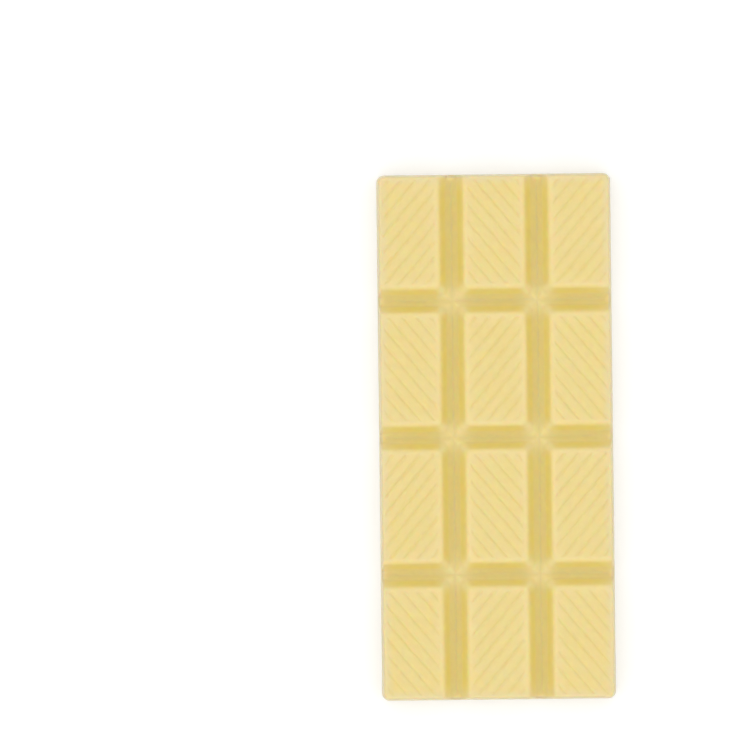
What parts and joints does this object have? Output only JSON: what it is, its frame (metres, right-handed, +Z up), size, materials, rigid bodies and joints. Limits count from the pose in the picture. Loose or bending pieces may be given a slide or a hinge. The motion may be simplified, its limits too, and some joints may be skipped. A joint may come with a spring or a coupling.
{
  "type": "chocolate bar",
  "caption": "Moulded white chocolate bar: a flat rectangular slab whose raised rectangular pieces, covered in fine slanting grooves, are parted by deep snap channels.",
  "frame": {"origin": "centre of the flat underside that the bar rests on", "axes": "+Y along the bar's length, +X across its width, +Z up out of the moulded face"},
  "size_m": [0.05, 0.1122, 0.008],
  "materials": {
    "white_chocolate": "smooth cream-coloured white chocolate, satin, slightly translucent"
  },
  "bodies": {
    "root": {"chocolate_bar": "white_chocolate"}
  },
  "joints": []
}
